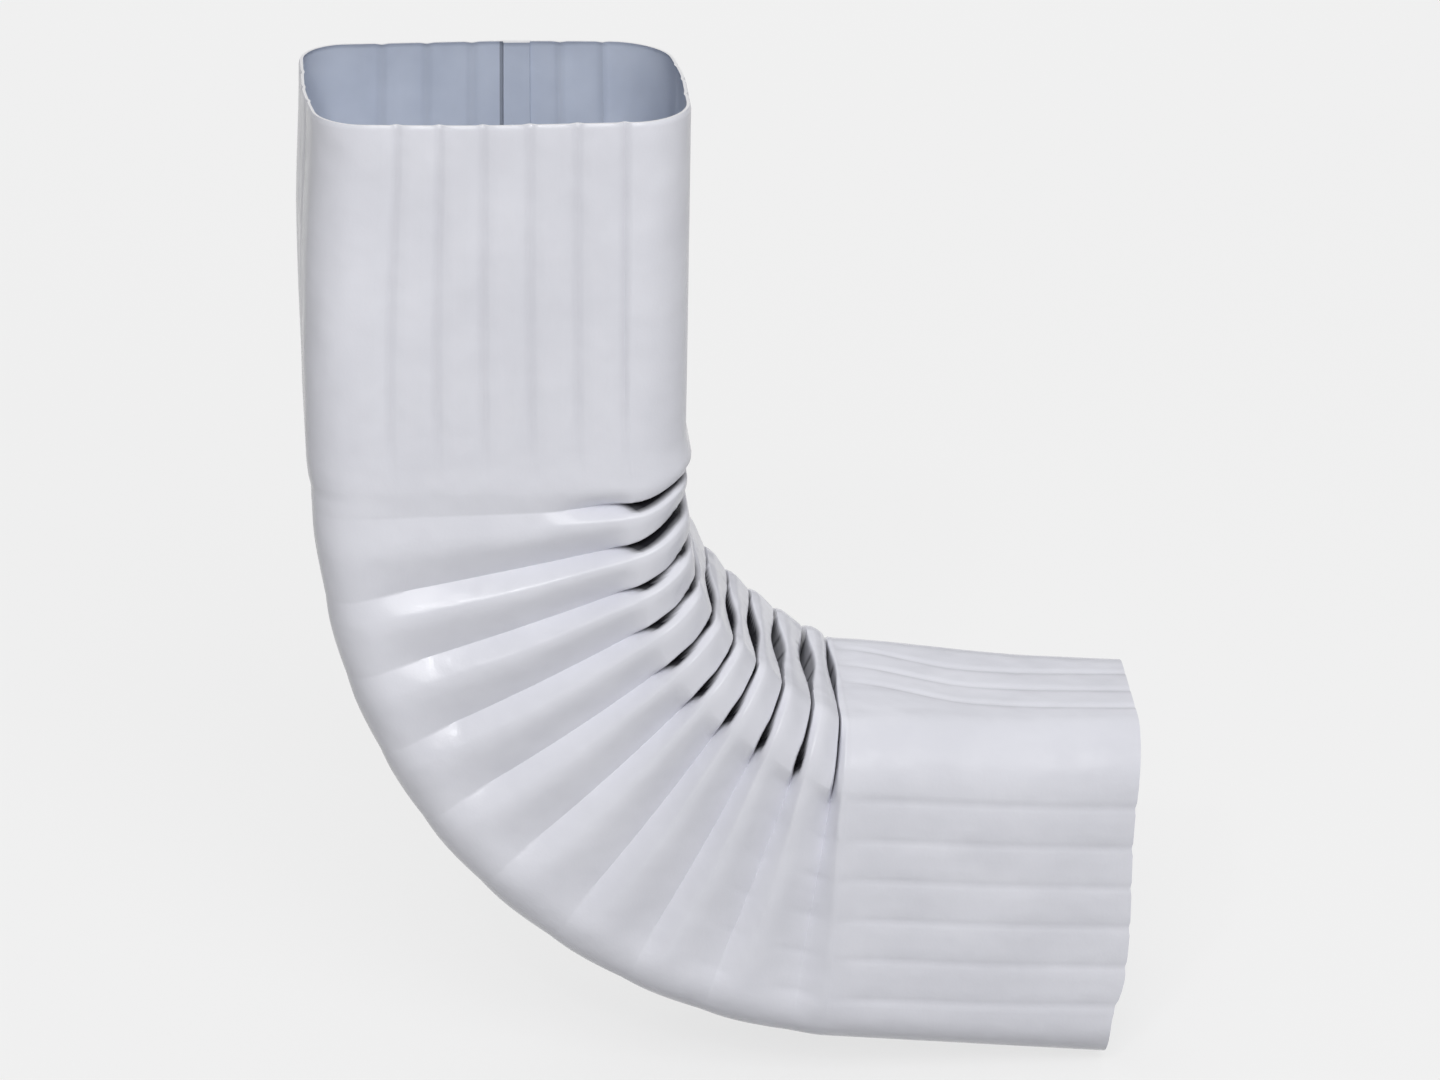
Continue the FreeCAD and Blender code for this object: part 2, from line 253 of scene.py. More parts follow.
SEAM_SPREAD = [
    -SEAM_HALF_WIDTH - SEAM_GAP - 2 * SEAM_EDGE,
    -SEAM_HALF_WIDTH - SEAM_GAP + SEAM_EDGE,
    -SEAM_HALF_WIDTH - SEAM_EDGE,
    -SEAM_HALF_WIDTH + SEAM_EDGE,
    SEAM_HALF_WIDTH - SEAM_EDGE,
    SEAM_HALF_WIDTH + SEAM_EDGE,
]
SHARP_ANGLE = math.radians(50)


def between(start, end, share):
    """A value at a share of the way from start to end."""
    return start + (end - start) * share


def smooth(value, start, end):
    """0 before the start, 1 after the end, and an S-shaped rise between."""
    x = np.clip((value - start) / (end - start), 0, 1)
    return x * x * (3 - 2 * x)


def step(value, height, start, end):
    """0 before the start and the height after the end."""
    return height * smooth(value, start, end)


def hump(value, height, middle, spread):
    """The height at the middle, dying away to both sides."""
    return height * np.exp(-((value - middle) / spread) ** 2)


def tube_rows(phases):
    """The rows of the sheet from inlet to outlet: the turn, and the shift along a leg."""
    rows = [(0.0, RIM_CURL_REACH * row / RIM_ROWS - INLET_LEG) for row in range(RIM_ROWS + 1)]
    rows += [(0.0, -INLET_LEG * (1 - row / LEG_ROWS)) for row in range(1, LEG_ROWS - 1)]
    rows += [(0.0, shift) for shift in LEG_END_SHIFTS]
    rows.append((0.0, 0.0))
    for crimp in range(CRIMPS):
        for phase in phases:
            turn = FIRST_VALLEY + PITCH * (crimp + phase)
            if ROW_GAP < turn < BEND_ANGLE - ROW_GAP:
                rows.append((turn, 0.0))
    rows += [(BEND_ANGLE, OUTLET_LEG * row / LEG_ROWS) for row in range(LEG_ROWS + 1)]
    turns, shifts = zip(*rows)
    return np.array(turns)[:, None], np.array(shifts)[:, None]


def tube_size(turn, shift):
    """Distances of throat and heel from the bend's axis, and half the depth, at a place along the tube."""
    round_bend = turn / BEND_ANGLE
    up_inlet = np.clip(-shift / INLET_LEG, 0, 1)
    down_outlet = np.clip(shift / OUTLET_LEG, 0, 1)
    bowed = 1 - (1 - up_inlet) ** LEG_BOW
    flare = (OUTLET_WIDTH - BEND_END_WIDTH) * down_outlet
    width = between(BEND_START_WIDTH, BEND_END_WIDTH, round_bend)
    width = width + (INLET_WIDTH - BEND_START_WIDTH) * bowed + flare
    depth = between(BEND_START_DEPTH, BEND_END_DEPTH, round_bend)
    depth = depth + (INLET_DEPTH - BEND_START_DEPTH) * up_inlet
    depth = depth + (OUTLET_DEPTH - BEND_END_DEPTH) * down_outlet
    throat = between(THROAT_START, THROAT_END, round_bend) - flare / 2
    heel = throat + width
    from_start = np.radians(turn) * heel - shift
    heel = heel + hump(from_start, **HEEL_BULGE) + hump(turn, **HEEL_FLAT) + step(turn, **HEEL_LIFT)
    tighter = step(turn, **THROAT_TIGHTER) + hump(turn, **THROAT_TIGHTEST)
    throat = throat + tighter * (1 - smooth(shift, 0, THROAT_RETURN))
    throat = throat + LEG_PINCH * (1 - up_inlet) * smooth(up_inlet, 0, LEG_PINCH_START)
    curl = RIM_CURL * np.clip(1 - (INLET_LEG + shift) / RIM_CURL_REACH, 0, 1) ** 2
    return throat + curl, heel - curl, depth / 2 - curl


def fold(phase, decline, rise):
    """How far a crimp is pressed in, from 0 on its soft ridges to 1 in its valley.

    Decline and rise are the shares of the pitch that lie before and after the valley.
    """
    reach = np.clip(1 - np.where(phase < 0, -phase / decline, phase / rise), 0, 1)
    soft = FOLD_SOFTNESS
    bent = np.where(reach < soft, reach * reach / (2 * soft), reach - soft / 2)
    return (bent / (1 - soft / 2)) ** FOLD_STEEPENING


def fold_left(share):
    """What is left of a fold's depth at a share of the way from throat to heel."""
    return 1 - smooth(share, *FOLD_END)


def fold_lean(turn):
    """How much further round the bend a fold stands at its throat end than at its heel end."""
    first = np.exp(-(turn / FIRST_LEAN_TURN) ** FIRST_LEAN_EDGE)
    return FOLD_LEAN + hump(turn, **MIDDLE_LEAN) - FIRST_LEAN_LOSS * first


def fold_climb(turn):
    """How much further round the bend a fold stands on the throat. The first ones climb back up the leg."""
    return THROAT_CLIMB + hump(turn, **LEG_CLIMB) + step(turn, **LATE_CLIMB)


def crevice_width(first, last, share):
    """Shares of the pitch before and after a valley, for a crevice between two kinds."""
    return [between(start, end, share) for start, end in zip(first, last)]


def spaced(first, last, count):
    """Evenly spaced places between two others."""
    return [first + (last - first) * (place + 1) / (count + 1) for place in range(count)]


def groove_centre(index, count, pitch):
    """Offset of a groove from the middle of its row."""
    return (index - (count - 1) / 2) * pitch


def face_columns(half, pitch, spreads, drift=0.0, fill=FILL_COLUMNS):
    """Offsets from one end of a flat face to the other, with columns gathered at each groove."""
    columns = [-half]
    edge = -half
    for index, spread in enumerate(spreads):
        centre = groove_centre(index, len(spreads), pitch) + drift
        points = []
        for order, offset in enumerate(spread):
            first = -half + COLUMN_GAP * (order + 1)
            last = half - COLUMN_GAP * (len(spread) - order)
            points.append(np.clip(centre + offset, first, last))
        columns += spaced(edge, points[0], fill) + points
        edge = points[-1]
    columns += spaced(edge, half, fill)
    return np.concatenate(columns, axis=1)


def groove_press(offset, pitch, count, skipped=None):
    """Depth share of the nearest groove at an offset across a face."""
    total = np.zeros_like(offset)
    for index in range(count):
        if index == skipped:
            continue
        reach = np.clip(np.abs(offset - groove_centre(index, count, pitch)) / GROOVE_HALF_WIDTH, 0, 1)
        total = np.maximum(total, 0.5 + 0.5 * np.cos(math.pi * reach))
    return total


def corner_steps(first, last):
    """Steps round a corner, from 0 to just before 1, and their angles."""
    steps = np.arange(CORNER_COLUMNS)[None, :] / CORNER_COLUMNS
    return steps, np.radians(between(first, last, steps))


class Sheet:
    """The points of the folded sheet's outer or inner face, in rows along the tube and columns round it.

    A point has a distance from the bend's axis and a place across, along Y. Lean, climb and twist say how it
    follows the folds round the bend. Reach is how far it stands out at the outlet's end, and the last kind
    how much painted shade darkens its colour.
    """

    def __init__(self, phases, inside):
        inset = SHEET if inside else 0.0
        self.inside = inside
        self.even_turn, self.shift = tube_rows(phases)
        self.turn = self.even_turn + CRIMP_DRIFT * np.sin(math.pi * self.even_turn / BEND_ANGLE)
        throat, heel, half = tube_size(self.turn, self.shift)
        self.throat = throat + inset
        self.heel = heel - inset - HEEL_FACET * self.press(RIDGE_SHARE, 0.0, CREVICE)
        self.half = half - inset
        self.corner = CORNER - inset
        self.heel_corner = HEEL_CORNER - inset
        self.valley_corner = VALLEY_CORNER - inset
        self.valley_half = self.half - SIDE_PRESS - self.valley_corner
        round_bend = self.turn / BEND_ANGLE
        self.pitch = between(INLET_GROOVE_PITCH, OUTLET_GROOVE_PITCH, round_bend)
        to_throat = between(INLET_GROOVES_TO_THROAT, OUTLET_GROOVES_TO_THROAT, round_bend)
        self.groove_offset = to_throat + (self.corner - self.heel_corner) / 2
        on_inlet = smooth(-self.shift, *INLET_GROOVE_FADE)
        on_outlet = smooth(self.shift, *OUTLET_GROOVE_FADE) * (self.turn >= BEND_ANGLE)
        self.groove_depth = INLET_GROOVE_DEPTH * on_inlet + OUTLET_GROOVE_DEPTH * on_outlet
        self.narrow_depth = NARROW_GROOVE_DEPTH * on_inlet + OUTLET_GROOVE_DEPTH * on_outlet
        self.groove_shade = GROOVE_SHADE * on_inlet
        self.crimp_grooves = OUTLET_GROOVE_DEPTH * smooth(self.turn, *LAST_CRIMP_TURNS) * (self.shift <= 0)
        self.early = 1 - smooth(self.turn, *EARLY_TURNS)
        self.late = smooth(self.turn, *LATE_TURNS)
        self.last = smooth(self.turn, *LAST_TURNS)
        self.parts = []

    def crimp_phases(self):
        """For each crimp, how far a row lies past its valley, in pitches."""
        along = self.even_turn + np.degrees(self.shift / MIDDLE_RADIUS)
        return [(along - FIRST_VALLEY) / PITCH - crimp for crimp in range(CRIMPS)]

    def press(self, ridge, drawn, crevice, first=1.0):
        """How far all crimps press a place in, with a share of the fold drawn into its crevice."""
        total = 0.0
        for crimp, phase in enumerate(self.crimp_phases()):
            broad = fold(phase, FIRST_DECLINE if crimp == 0 else 1 - ridge, ridge)
            pressed = broad * (1 - drawn) + fold(phase, *crevice) * drawn
            total = np.maximum(total, pressed * (first if crimp == 0 else 1))
        return total

    def painted_shade(self, crevice):
        """How much painted shade darkens a place down in a crevice. Inside, the crimps stand out and get no
        painted shade.
        """
        if self.inside:
            return 0.0
        depths = [smooth(fold(phase, *crevice), 0, PAINTED_SHADE_DEPTH) for phase in self.crimp_phases()]
        return np.max(depths, axis=0)

    def throat_opening(self, place):
        """How far a crevice gapes at a place across the throat."""
        middle = between(OPEN_MIDDLE_FIRST, OPEN_MIDDLE_LAST, self.turn / BEND_ANGLE)
        return hump(place, 1, middle, OPEN_HALF_LENGTH)

    def add(self, distance, across, lean, climb=0.0, twist=0.0, reach=0.0, painted_darkness=0.0):
        """Add columns of points. A kind may be one value for all of them."""
        kinds = (distance, across, lean, climb, twist, reach, painted_darkness)
        self.parts.append([np.broadcast_to(kind, distance.shape) for kind in kinds])

    def add_throat_face(self):
        """The inner wall, with crevices that gape in one place and grooves that run askew."""
        half_face = self.half - self.corner
        drift = THROAT_DRIFT * (1 - smooth(self.shift, 0, THROAT_DRIFT_REACH))
        drift = drift * (1 + (BEND_ANGLE - self.turn) / THROAT_DRIFT_DOUBLING)
        drift = drift * smooth(self.turn, *THROAT_DRIFT_TURNS)
        drift = np.clip(drift, self.pitch + THROAT_DRIFT_MARGIN - half_face, 0)
        spreads = [GROOVE_SPREAD] * NARROW_GROOVES
        columns = face_columns(half_face, self.pitch, spreads, drift, THROAT_FILL_COLUMNS)
        grooves = groove_press(columns - drift, self.pitch, NARROW_GROOVES)
        offset = -columns
        opened = self.throat_opening(offset / half_face)
        crevice = crevice_width(THIN_CREVICE, OPEN_CREVICE, opened)
        pressed = self.press(RIDGE_SHARE, between(THROAT_DRAWN, OPEN_DRAWN, opened), crevice)
        inward = grooves * (self.narrow_depth + THROAT_GROOVE_GAIN * self.crimp_grooves * pressed)
        distance = self.throat + inward + pressed * THROAT_PRESS
        across = offset * between(1, self.valley_half / half_face, pressed)
        # Painted shade in the throat's crevices, and painted shade hatched across the late ones, stronger on
        # the grooves
        painted_darkness = self.painted_shade(crevice) * (1 - self.late * (LATE_THROAT_LOSS - LATE_GROOVE_GAIN * grooves))
        painted_hatch_shade = self.painted_shade(PAINTED_HATCH_CREVICE) * self.late * opened * (PAINTED_HATCH + PAINTED_HATCH_GROOVE_GAIN * grooves)
        to_back = (1 + offset / half_face) / 2
        self.add(distance, across, THROAT_LEAN, climb=1.0, twist=to_back, painted_darkness=np.maximum(painted_darkness, painted_hatch_shade))

    def add_heel_face(self):
        """The outer wall, with its grooves."""
        spreads = [GROOVE_SPREAD] * NARROW_GROOVES
        offset = face_columns(self.half - self.heel_corner, self.pitch, spreads)
        inward = groove_press(offset, self.pitch, NARROW_GROOVES) * self.narrow_depth
        self.add(self.heel - inward, offset, HEEL_LEAN)

    def add_throat_corner(self, side, first, last):
        """A corner beside the throat, with a pocket at the end of each fold that painted shade darkens."""
        steps, angle = corner_steps(first, last)
        to_throat = steps if side == BACK else 1 - steps
        opened = smooth(to_throat, *CORNER_OPENING)
        gaping = self.throat_opening(side)
        pocket = (1 - smooth(to_throat, *POCKET_NARROWING)) * (1 - self.last)
        wide = np.maximum(pocket, self.early)
        crevice = crevice_width(THIN_CREVICE, crevice_width(CREVICE, FIRST_CREVICE, self.early), wide)
        crevice = crevice_width(crevice, crevice_width(THIN_CREVICE, OPEN_CREVICE, gaping), opened)
        ridge = between(SIDE_RIDGE_SHARE, RIDGE_SHARE, opened)
        drawn = between(SIDE_DRAWN, between(THROAT_DRAWN, OPEN_DRAWN, gaping), opened)
        pressed = self.press(ridge, drawn, crevice)
        ridge_distance = self.throat + self.corner * (1 + np.cos(angle))
        valley_distance = self.throat + THROAT_PRESS + self.valley_corner * (1 + np.cos(angle))
        ridge_across = side * (self.half - self.corner) + self.corner * np.sin(angle)
        valley_across = side * self.valley_half + self.valley_corner * np.sin(angle)
        distance = between(ridge_distance, valley_distance, pressed)
        across = between(ridge_across, valley_across, pressed)
        # Painted shade in the pockets, weaker where they narrow, on the late and last folds, and at their
        # start
        painted_darkness = self.painted_shade(crevice) * (1 - CORNER_LOSS * (1 - wide) * (1 - opened))
        painted_darkness = painted_darkness * (1 - LATE_CORNER_LOSS * self.late * opened)
        painted_darkness = painted_darkness * (1 - LAST_CORNER_LOSS * self.last * (1 - opened))
        painted_darkness = painted_darkness * between(POCKET_START, 1, smooth(to_throat, *POCKET_DARKENING))
        climb = smooth(to_throat, 0, 1)
        twist = climb if side == BACK else 0.0
        self.add(distance, across, THROAT_LEAN, climb=climb, twist=twist, painted_darkness=painted_darkness)

    def add_heel_corner(self, side, first, last):
        """A corner beside the heel, on which the folds run out."""
        steps, angle = corner_steps(first, last)
        to_heel = 1 - steps if side == BACK else steps
        pressed = self.press(RIDGE_SHARE, 0.0, CREVICE, FIRST_PRESS)
        radius = self.heel_corner - pressed * SHOULDER_PRESS * fold_left(1 + to_heel * HEEL_CORNER_SHARE)
        distance = self.heel - self.heel_corner + radius * np.cos(angle)
        across = side * (self.half - self.heel_corner) + radius * np.sin(angle)
        self.add(distance, across, HEEL_LEAN)

    def add_wide_face(self, side):
        """The front or the back, with grooves on the legs and folds across the bend."""
        at_back = side == BACK
        spreads = [GROOVE_SPREAD] * WIDE_GROOVES
        if at_back:
            spreads[SEAM_GROOVE] = SEAM_SPREAD
        half_face = (self.heel - self.throat - self.corner - self.heel_corner) / 2
        drift = side * self.groove_offset
        columns = face_columns(half_face, self.pitch, spreads, drift)
        share = (columns * -side / half_face + 1) / 2
        crevice = crevice_width(CREVICE, FIRST_CREVICE, self.early)
        ridge = between(SIDE_RIDGE_SHARE, RIDGE_SHARE, smooth(share, 0, SIDE_RIDGE_REACH))
        drawn = SIDE_DRAWN * (1 - smooth(share, 0, SIDE_DRAWN_REACH))
        first = between(1, FIRST_PRESS, smooth(share, 0, FIRST_PRESS_REACH))
        pressed = self.press(ridge, drawn, crevice, first)
        skipped = SEAM_GROOVE if at_back else None
        grooves = groove_press(columns - drift, self.pitch, WIDE_GROOVES, skipped)
        grooves = grooves * smooth(half_face - np.abs(columns), 0, GROOVE_HALF_WIDTH)
        inward = grooves * (self.groove_depth + self.crimp_grooves * pressed)
        # Painted shade at the start of the pockets and in the inlet's grooves, and inside in the seam's gap
        painted_darkness = self.painted_shade(crevice) * (1 - smooth(share, 0, POCKET_START_REACH)) * (1 - self.last)
        painted_darkness = np.maximum(painted_darkness * POCKET_START, grooves * self.groove_shade)
        if at_back and self.inside:
            from_seam = columns - drift - groove_centre(SEAM_GROOVE, WIDE_GROOVES, self.pitch)
            inward = np.where(np.abs(from_seam) < SEAM_HALF_WIDTH, SEAM_HEIGHT, inward)
            from_gap = from_seam + SEAM_HALF_WIDTH + SEAM_GAP / 2
            painted_darkness = np.where(np.abs(from_gap) < SEAM_GAP / 2, SEAM_GAP_SHADE, painted_darkness)
        heel_end = self.heel - self.heel_corner
        ridge_distance = between(self.throat + self.corner, heel_end, share)
        valley_distance = between(self.throat + THROAT_PRESS + self.valley_corner, heel_end, share)
        distance = between(ridge_distance, valley_distance, pressed)
        depth = between(SIDE_PRESS, SHOULDER_PRESS, np.clip(share / SHOULDER, 0, 1))
        across = side * (self.half - inward - pressed * depth * fold_left(share))
        bulge = smooth(share, *END_RISE) * (1 - smooth(share, *END_FALL))
        reach = smooth(self.shift, END_START, OUTLET_LEG) * (END_REACH * bulge - END_NOTCH * grooves)
        self.add(distance, across, between(THROAT_LEAN, HEEL_LEAN, share), reach=reach, painted_darkness=painted_darkness)

    def points(self):
        """The places of the points in metres, row by row, and how much painted shade darkens each."""
        # Angles run round a section: 0 at the heel, 90 at the back, 180 at the throat and 270 at the front
        self.add_throat_face()
        self.add_throat_corner(FRONT, 180, 270)
        self.add_wide_face(FRONT)
        self.add_heel_corner(FRONT, 270, 360)
        self.add_heel_face()
        self.add_heel_corner(BACK, 0, 90)
        self.add_wide_face(BACK)
        self.add_throat_corner(BACK, 90, 180)
        kinds = (np.concatenate(kind, axis=1) for kind in zip(*self.parts))
        distance, across, lean, climb, twist, reach, painted_darkness = kinds
        swing = fold_lean(self.turn) * lean + fold_climb(self.turn) * climb
        swing = swing + step(self.turn, **FOLD_TWIST) * twist + hump(self.turn, **FIRST_SWING)
        swing = swing * (1 - smooth(self.turn, BEND_ANGLE - LAST_SWING_TURN, BEND_ANGLE))
        in_leg = self.shift < 0
        slide = np.radians(swing) * distance * hump(self.shift, **LEG_SWING) * in_leg
        angle = np.radians(self.turn + np.where(in_leg, 0, swing))
        shift = self.shift + slide + reach
        x = AXIS_X - distance * np.cos(angle) + shift * np.sin(angle)
        z = AXIS_Z - distance * np.sin(angle) - shift * np.cos(angle)
        x, across = self.squeezed(x, across)
        return np.stack([x, across, z], axis=2) * MM, painted_darkness

    def squeezed(self, x, across):
        """X and Y once the rim is squeezed, at the front of the heel and the back of the throat."""
        out = x / (INLET_WIDTH / 2)
        to_back = across / (INLET_DEPTH / 2)
        from_rim = INLET_LEG + self.shift
        into_corner = np.clip(out * to_back, 0, 1) ** RIM_SQUEEZE_EDGE
        squeeze = RIM_SQUEEZE * into_corner * (1 - smooth(from_rim, 0, RIM_SQUEEZE_REACH))
        press = RIM_HEEL_PRESS * np.clip(-out, 0, 1) * (1 - smooth(from_rim, 0, RIM_HEEL_REACH))
        return x - np.sign(out) * squeeze + press, across - np.sign(to_back) * squeeze


def grid_faces(rows, columns, start, flip):
    """Quads between the rows of a closed tube of points."""
    faces = []
    for row in range(rows - 1):
        here = start + row * columns
        faces += ring_faces(columns, here, here + columns, flip)
    return faces


def ring_faces(columns, one, other, flip):
    """Quads between two closed rows of points, given the first point of each."""
    faces = []
    for column in range(columns):
        following = (column + 1) % columns
        quad = (one + column, one + following, other + following, other + column)
        faces.append(tuple(reversed(quad)) if flip else quad)
    return faces


def elbow_mesh():
    """The folded sheet: outer face, inner face and the two cut rims."""
    outer, outer_painted_darkness = Sheet(FOLD_PHASES, inside=False).points()
    inner, inner_painted_darkness = Sheet(INSIDE_PHASES, inside=True).points()
    columns = outer.shape[1]
    inner_start = outer.shape[0] * columns
    inner_last = inner_start + (inner.shape[0] - 1) * columns
    outside = grid_faces(outer.shape[0], columns, 0, True)
    inside = grid_faces(inner.shape[0], columns, inner_start, False)
    rims = ring_faces(columns, 0, inner_start, False)
    rims += ring_faces(columns, inner_start - columns, inner_last, True)
    points = np.concatenate([outer.reshape(-1, 3), inner.reshape(-1, 3)])
    mesh = bpy.data.meshes.new("folded_sheet")
    mesh.from_pydata(points.tolist(), [], outside + inside + rims)
    # Painted shade for each point, which the materials mix into the colour
    painted_shade = mesh.attributes.new("painted_shade", "FLOAT", "POINT")
    painted_shade.data.foreach_set("value", np.concatenate([outer_painted_darkness.ravel(), inner_painted_darkness.ravel()]))
    materials = np.zeros(len(mesh.polygons), dtype=np.int32)
    materials[len(outside):] = 1
    materials[len(outside) + len(inside):] = 2
    mesh.polygons.foreach_set("material_index", materials)
    mesh.polygons.foreach_set("use_smooth", np.ones(len(mesh.polygons), dtype=bool))
    mesh.set_sharp_from_angle(angle=SHARP_ANGLE)
    mesh.update()
    return mesh


# Paint, lining and bare edge: colours and gloss with their limits, scales of noise, and heights of bumps
PAINT = (0.77, 0.775, 0.835)
PAINT_LIMITS = ((0.745, 0.75, 0.81), (0.79, 0.795, 0.855))
PAINT_ROUGHNESS = 0.22
PAINT_ROUGHNESS_LIMITS = ((0.17, 0.17, 0.17), (0.27, 0.27, 0.27))
PAINT_SHINE = 0.28
PAINT_BLOTCHES = {"scale": 55, "detail": 3}
PAINT_SMEARS = {"scale": 140, "detail": 4}
LINING = (0.54, 0.59, 0.70)
LINING_LIMITS = ((0.51, 0.56, 0.67), (0.57, 0.62, 0.73))
LINING_ROUGHNESS = 0.5
LINING_BLOTCHES = {"scale": 70, "detail": 3}
EDGE = (0.86, 0.86, 0.88)
EDGE_ROUGHNESS = 0.4
# The near black that painted shade in crevices, grooves and the seam's gap mixes into the colour
PAINTED_SHADE_COLOUR = (0.02, 0.02, 0.025)
DENTS = {"scale": 60, "detail": 1}
DENT_HEIGHT = 0.6 * MM
RIPPLES = {"scale": 150, "detail": 1}
RIPPLE_HEIGHT = 0.3 * MM
GRAIN = {"scale": 1500, "detail": 2}
GRAIN_HEIGHT = 0.02 * MM
NOISE_LOW = 0.35
NOISE_HIGH = 0.65


def principled(name, colour, roughness):
    """A material of one colour and gloss, and its shader."""
    material = bpy.data.materials.new(name)
    material.use_nodes = True
    shader = material.node_tree.nodes["Principled BSDF"]
    shader.inputs["Base Color"].default_value = (*colour, 1)
    shader.inputs["Roughness"].default_value = roughness
    return material, shader


def noise(material, scale, detail):
    """A noise texture in the object's own space."""
    nodes, links = material.node_tree.nodes, material.node_tree.links
    place = nodes.new("ShaderNodeTexCoord")
    texture = nodes.new("ShaderNodeTexNoise")
    texture.inputs["Scale"].default_value = scale
    texture.inputs["Detail"].default_value = detail
    links.new(place.outputs["Object"], texture.inputs["Vector"])
    return texture.outputs["Fac"]


def ramp(material, source, low, high):
    """A colour between two limits, chosen by a noise."""
    nodes, links = material.node_tree.nodes, material.node_tree.links
    node = nodes.new("ShaderNodeValToRGB")
    first, last = node.color_ramp.elements
    first.position = NOISE_LOW
    first.color = (*low, 1)
    last.position = NOISE_HIGH
    last.color = (*high, 1)
    links.new(source, node.inputs["Fac"])
    return node.outputs["Color"]


def with_painted_shade(material, colour):
    """The colour, mixed towards a near black by the painted shade in crevices, grooves and the seam's gap."""
    nodes, links = material.node_tree.nodes, material.node_tree.links
    depth = nodes.new("ShaderNodeAttribute")
    depth.attribute_name = "painted_shade"
    mix = nodes.new("ShaderNodeMixRGB")
    mix.inputs["Color2"].default_value = (*PAINTED_SHADE_COLOUR, 1)
    links.new(depth.outputs["Fac"], mix.inputs["Fac"])
    links.new(colour, mix.inputs["Color1"])
    return mix.outputs["Color"]


def bump(material, shader, layers):
    """Stack bumps, each a noise with its height in metres."""
    nodes, links = material.node_tree.nodes, material.node_tree.links
    normal = None
    for source, height in layers:
        node = nodes.new("ShaderNodeBump")
        node.inputs["Distance"].default_value = height
        links.new(source, node.inputs["Height"])
        if normal:
            links.new(normal, node.inputs["Normal"])
        normal = node.outputs["Normal"]
    links.new(normal, shader.inputs["Normal"])


def white_paint():
    material, shader = principled("white_paint", PAINT, PAINT_ROUGHNESS)
    shader.inputs["Specular IOR Level"].default_value = PAINT_SHINE
    links = material.node_tree.links
    colour = ramp(material, noise(material, **PAINT_BLOTCHES), *PAINT_LIMITS)
    links.new(with_painted_shade(material, colour), shader.inputs["Base Color"])
    smears = ramp(material, noise(material, **PAINT_SMEARS), *PAINT_ROUGHNESS_LIMITS)
    links.new(smears, shader.inputs["Roughness"])
    dents = (noise(material, **DENTS), DENT_HEIGHT)
    ripples = (noise(material, **RIPPLES), RIPPLE_HEIGHT)
    grain = (noise(material, **GRAIN), GRAIN_HEIGHT)
    bump(material, shader, [dents, ripples, grain])
    return material


def blue_grey_lining():
    material, shader = principled("lining", LINING, LINING_ROUGHNESS)
    colour = ramp(material, noise(material, **LINING_BLOTCHES), *LINING_LIMITS)
    material.node_tree.links.new(with_painted_shade(material, colour), shader.inputs["Base Color"])
    bump(material, shader, [(noise(material, **DENTS), DENT_HEIGHT)])
    return material


def cut_edge():
    return principled("cut_edge", EDGE, EDGE_ROUGHNESS)[0]


elbow = bpy.data.objects.new("elbow_sheet", elbow_mesh())
bpy.context.scene.collection.objects.link(elbow)
for material in (white_paint(), blue_grey_lining(), cut_edge()):
    elbow.data.materials.append(material)
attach(elbow, "root")
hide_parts(NODE)

# Floor, with sizes in metres: how pale it looks, how much shadow shows, and how much light it gives back
FLOOR_SIZE = 40.0
FLOOR_GAP = 0.5 * MM
BACKDROP = 0.92
SHADOW_SHARE = 0.2
SHADOW_FLOOR = 0.8
FLOOR_BOUNCE = 0.50


def grey(tone):
    return (tone, tone, tone, 1)


def pale_floor():
    """An even pale grey with a faint shadow where it is seen, and darker where it gives light back."""
    material = bpy.data.materials.new("floor_paint")
    material.use_nodes = True
    nodes, links = material.node_tree.nodes, material.node_tree.links
    nodes.clear()
    output = nodes.new("ShaderNodeOutputMaterial")
    seen = nodes.new("ShaderNodeMixShader")
    backdrop = nodes.new("ShaderNodeMixShader")
    glow = nodes.new("ShaderNodeEmission")
    lit = nodes.new("ShaderNodeBsdfDiffuse")
    bounce = nodes.new("ShaderNodeBsdfDiffuse")
    rays = nodes.new("ShaderNodeLightPath")
    glow.inputs["Color"].default_value = grey(BACKDROP)
    lit.inputs["Color"].default_value = grey(SHADOW_FLOOR)
    bounce.inputs["Color"].default_value = grey(FLOOR_BOUNCE)
    backdrop.inputs["Fac"].default_value = SHADOW_SHARE
    links.new(glow.outputs["Emission"], backdrop.inputs[1])
    links.new(lit.outputs["BSDF"], backdrop.inputs[2])
    shown = rays.outputs["Is Camera Ray"]
    for kind in ("Is Glossy Ray", "Is Transmission Ray"):
        either = nodes.new("ShaderNodeMath")
        either.operation = "MAXIMUM"
        links.new(shown, either.inputs[0])
        links.new(rays.outputs[kind], either.inputs[1])
        shown = either.outputs["Value"]
    links.new(shown, seen.inputs["Fac"])
    links.new(bounce.outputs["BSDF"], seen.inputs[1])
    links.new(backdrop.outputs["Shader"], seen.inputs[2])
    links.new(seen.outputs["Shader"], output.inputs["Surface"])
    return material


bpy.ops.mesh.primitive_plane_add(size=FLOOR_SIZE, location=(0, 0, cad_low.z - FLOOR_GAP))
floor = bpy.context.object
floor.name = "floor"
floor.data.materials.append(pale_floor())

# Light from all round, brightest overhead and weakest from the heel's side
HORIZON_LIGHT = 0.03
OVERHEAD_LIGHT = 0.68
HEEL_SIDE_SHARE = 0.1


